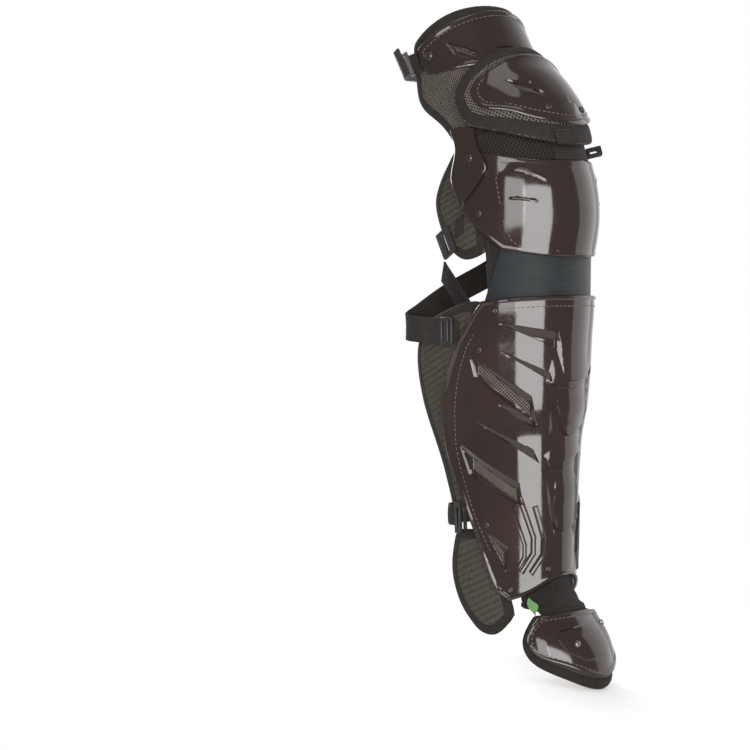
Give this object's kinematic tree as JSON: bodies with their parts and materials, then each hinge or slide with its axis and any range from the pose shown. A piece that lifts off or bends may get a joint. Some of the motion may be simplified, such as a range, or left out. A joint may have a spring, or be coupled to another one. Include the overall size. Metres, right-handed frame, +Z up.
{
  "type": "catcher leg guard",
  "caption": "Upright leg guard for a ball-game catcher: glossy brown-black plates over mesh padding, a floating upper knee cup, a foot cap and black straps with buckles behind.",
  "frame": {"origin": "middle of the knee, on the leg's middle line", "axes": "+Z up the shin towards the thigh, -Y to the front, -X to the outer side of the leg where the buckles are"},
  "size_m": [0.1694, 0.2691, 0.7254],
  "materials": {
    "shell_plastic": "moulded, high gloss, brown-black",
    "rivet_plastic": "moulded, high gloss, black",
    "mesh_fabric": "open sports mesh over foam, bound at the edge",
    "suede_leather": "napped suede, grey-brown",
    "satin_fabric": "smooth black sheen cloth over foam",
    "patch_fabric": "plain orange perforated cloth",
    "band_elastic": "smooth coated elastic, dark grey",
    "webbing": "woven strap, black",
    "buckle_plastic": "moulded, satin, black",
    "snap_metal": "dark lacquered snap",
    "tab_fabric": "plain green woven tab"
  },
  "bodies": {
    "root": {"thigh_pad": "mesh_fabric", "thigh_plate": "shell_plastic", "upper_cup_pad": "mesh_fabric", "upper_cup_shell": "shell_plastic", "knee_cap": "shell_plastic", "knee_side_plate_outer": "shell_plastic", "knee_side_plate_inner": "shell_plastic", "knee_pad": "mesh_fabric", "knee_wing_outer": "mesh_fabric", "knee_wing_inner": "mesh_fabric", "knee_foam": "satin_fabric", "knee_patch": "patch_fabric", "knee_band": "band_elastic", "shin_plate": "shell_plastic", "shin_pad": "mesh_fabric", "calf_wing_outer": "mesh_fabric", "calf_wing_inner": "mesh_fabric", "shin_liner": "suede_leather", "liner_label": "satin_fabric", "ankle_lobe_outer": "mesh_fabric", "ankle_lobe_inner": "mesh_fabric", "foot_pad": "mesh_fabric", "foot_cap": "shell_plastic", "foot_gusset": "mesh_fabric", "thigh_rivet_outer": "rivet_plastic", "thigh_rivet_inner": "rivet_plastic", "knee_side_rivet_outer": "rivet_plastic", "knee_side_rivet_inner": "rivet_plastic", "knee_low_rivet_outer": "rivet_plastic", "knee_low_rivet_inner": "rivet_plastic", "shin_top_rivet_outer": "rivet_plastic", "shin_top_rivet_inner": "rivet_plastic", "shin_side_rivet_outer": "rivet_plastic", "shin_side_rivet_inner": "rivet_plastic", "shin_low_rivet_outer": "rivet_plastic", "shin_low_rivet_inner": "rivet_plastic", "shin_tip_rivet_outer": "rivet_plastic", "shin_tip_rivet_inner": "rivet_plastic", "cup_rivet_outer": "rivet_plastic", "cup_rivet_inner": "rivet_plastic", "shin_foot_rivet": "rivet_plastic", "foot_snap_front": "snap_metal", "foot_snap_side": "snap_metal", "lobe_snap": "snap_metal", "thigh_strap": "satin_fabric", "knee_cross_strap": "webbing", "calf_cross_strap": "webbing", "ankle_strap": "webbing", "thigh_webbing": "webbing", "thigh_hook": "snap_metal", "knee_webbing": "webbing", "knee_buckle": "buckle_plastic", "calf_webbing": "webbing", "calf_ring": "buckle_plastic", "ankle_webbing": "webbing", "ankle_buckle": "buckle_plastic", "cup_elastic": "webbing", "cup_loop": "webbing", "cup_webbing": "webbing", "green_tab": "tab_fabric"}
  },
  "joints": []
}
